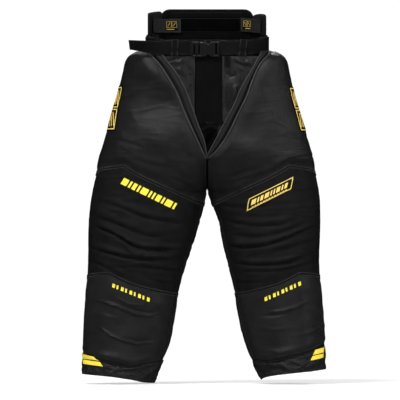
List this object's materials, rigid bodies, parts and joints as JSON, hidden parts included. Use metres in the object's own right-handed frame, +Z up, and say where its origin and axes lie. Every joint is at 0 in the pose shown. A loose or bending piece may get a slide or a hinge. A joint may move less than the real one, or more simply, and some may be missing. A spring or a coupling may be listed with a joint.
{
  "type": "hockey pants",
  "caption": "Padded goalkeeper's hockey trousers with foam thighs, stretch knees, kidney pad, stick-down waist tabs and a side-release belt buckle.",
  "frame": {"origin": "middle of the waist opening, at the height of the belt", "axes": "+Z up, -Y is the front, +X is to the right of someone facing the front"},
  "size_m": [0.7059, 0.2676, 1.082],
  "materials": {
    "pad_fabric": "satin",
    "stretch_knit": "matte",
    "satin_nylon": "satin",
    "cordura": "matte",
    "cuff_nylon": "satin",
    "waistband_elastic": "matte",
    "webbing": "matte",
    "loop_pile": "matte",
    "tab_fabric": "matte",
    "foam": "matte",
    "buckle_plastic": "satin",
    "label": "satin"
  },
  "bodies": {
    "pelvis": {"waistband_front": "waistband_elastic", "waistband_back": "waistband_elastic", "kidney_pad_outer_cover": "pad_fabric", "kidney_pad_foam": "foam", "kidney_pad_inner_cover": "stretch_knit", "kidney_loop_strip": "loop_pile", "side_wing_left": "cordura", "side_wing_right": "cordura", "belt_anchor_strap": "webbing", "belt_webbing_right": "webbing", "belt_keeper_left": "webbing", "belt_keeper_right": "webbing", "buckle_socket": "buckle_plastic", "fly_panel": "stretch_knit", "front_yoke_right": "satin_nylon", "front_yoke_left": "satin_nylon", "snap_placket": "satin_nylon", "snap_upper": "buckle_plastic", "snap_lower": "buckle_plastic", "hanging_loop": "webbing", "fly_zip_pull": "satin_nylon", "crotch_gusset": "stretch_knit", "hip_pad_cover_left": "pad_fabric", "hip_pad_foam_left": "foam", "seat_panel_left": "satin_nylon", "hip_pad_cover_right": "pad_fabric", "hip_pad_foam_right": "foam", "seat_panel_right": "satin_nylon"},
    "tab_left": {"waist_tab_left": "tab_fabric", "tab_hook_patch_left": "loop_pile", "tab_label_left": "label"},
    "tab_right": {"waist_tab_right": "tab_fabric", "tab_hook_patch_right": "loop_pile", "tab_label_right": "label"},
    "buckle_male": {"belt_tail": "webbing", "buckle_plug": "buckle_plastic"},
    "latch_upper": {"latch_arm_upper": "buckle_plastic"},
    "latch_lower": {"latch_arm_lower": "buckle_plastic"},
    "left_thigh": {"thigh_pad_cover_left": "pad_fabric", "thigh_back_panel_left": "satin_nylon", "thigh_foam_left": "foam", "knee_panel_left": "stretch_knit", "knee_back_panel_left": "stretch_knit"},
    "left_shin": {"shin_panel_left": "cordura", "calf_panel_left": "cordura", "shin_foam_left": "foam", "cuff_left": "cuff_nylon"},
    "right_thigh": {"thigh_pad_cover_right": "pad_fabric", "thigh_back_panel_right": "satin_nylon", "thigh_foam_right": "foam", "knee_panel_right": "stretch_knit", "knee_back_panel_right": "stretch_knit"},
    "right_shin": {"shin_panel_right": "cordura", "calf_panel_right": "cordura", "shin_foam_right": "foam", "cuff_right": "cuff_nylon"}
  },
  "joints": [
    {"name": "hip_left", "type": "hinge", "parent": "pelvis", "child": "left_thigh", "pos_m": [-0.17, 0, -0.19], "axis": [-1, 0, 0], "range_deg": [-10, 45]},
    {"name": "hip_right", "type": "hinge", "parent": "pelvis", "child": "right_thigh", "pos_m": [0.17, 0, -0.19], "axis": [-1, 0, 0], "range_deg": [-10, 45]},
    {"name": "knee_left", "type": "hinge", "parent": "left_thigh", "child": "left_shin", "pos_m": [-0.2, 0.008, -0.554], "axis": [1, 0, 0], "range_deg": [0, 70], "deforming": ["knee_panel_left", "knee_back_panel_left"]},
    {"name": "knee_right", "type": "hinge", "parent": "right_thigh", "child": "right_shin", "pos_m": [0.2, 0.008, -0.554], "axis": [1, 0, 0], "range_deg": [0, 70], "deforming": ["knee_panel_right", "knee_back_panel_right"]},
    {"name": "buckle_slide", "type": "slide", "parent": "pelvis", "child": "buckle_male", "axis": [-1, 0, 0], "range_m": [0, 0.03]},
    {"name": "latch_upper_squeeze", "type": "hinge", "parent": "buckle_male", "child": "latch_upper", "pos_m": [-0.0079, -0.1148, 0.0085], "axis": [0, 1, 0], "range_deg": [0, 6], "stiffness_Nm_per_rad": 0.05},
    {"name": "latch_lower_squeeze", "type": "hinge", "parent": "buckle_male", "child": "latch_lower", "pos_m": [-0.0079, -0.1148, -0.0165], "axis": [0, -1, 0], "range_deg": [0, 6], "stiffness_Nm_per_rad": 0.05},
    {"name": "tab_left_peel", "type": "hinge", "parent": "pelvis", "child": "tab_left", "pos_m": [-0.155, 0.0415, 0.067], "axis": [0, 0, -1], "range_deg": [0, 100]},
    {"name": "tab_right_peel", "type": "hinge", "parent": "pelvis", "child": "tab_right", "pos_m": [0.155, 0.0415, 0.067], "axis": [0, 0, 1], "range_deg": [0, 100]}
  ]
}
